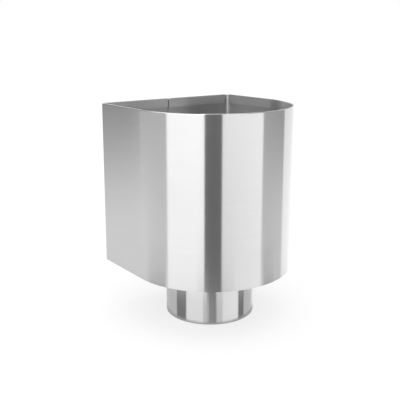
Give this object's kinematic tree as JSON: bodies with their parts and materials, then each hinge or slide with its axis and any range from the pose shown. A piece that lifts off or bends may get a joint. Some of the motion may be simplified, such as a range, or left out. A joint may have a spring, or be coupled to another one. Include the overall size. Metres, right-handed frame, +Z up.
{
  "type": "rainwater hopper",
  "caption": "D-shaped open-topped rainwater hopper of stainless sheet with a hemmed rim, a flat back for a wall and a round outlet spigot below.",
  "frame": {"origin": "on the outlet's axis, at the spigot's lower end", "axes": "+Z up, opposite to the flow; +Y towards the wall behind the hopper; +X along the wall, to the right seen from the front"},
  "size_m": [0.2, 0.19, 0.26],
  "materials": {
    "shell_steel": "bright rolled stainless sheet with a fine level grain",
    "base_steel": "bright rolled stainless sheet",
    "outlet_steel": "bright rolled stainless sheet with a fine level grain",
    "weld_metal": "rippled weld bead, brushed clean"
  },
  "bodies": {
    "root": {"body_shell": "shell_steel", "base_pan": "base_steel", "base_weld": "weld_metal", "outlet_spigot": "outlet_steel", "outlet_weld": "weld_metal"}
  },
  "joints": []
}
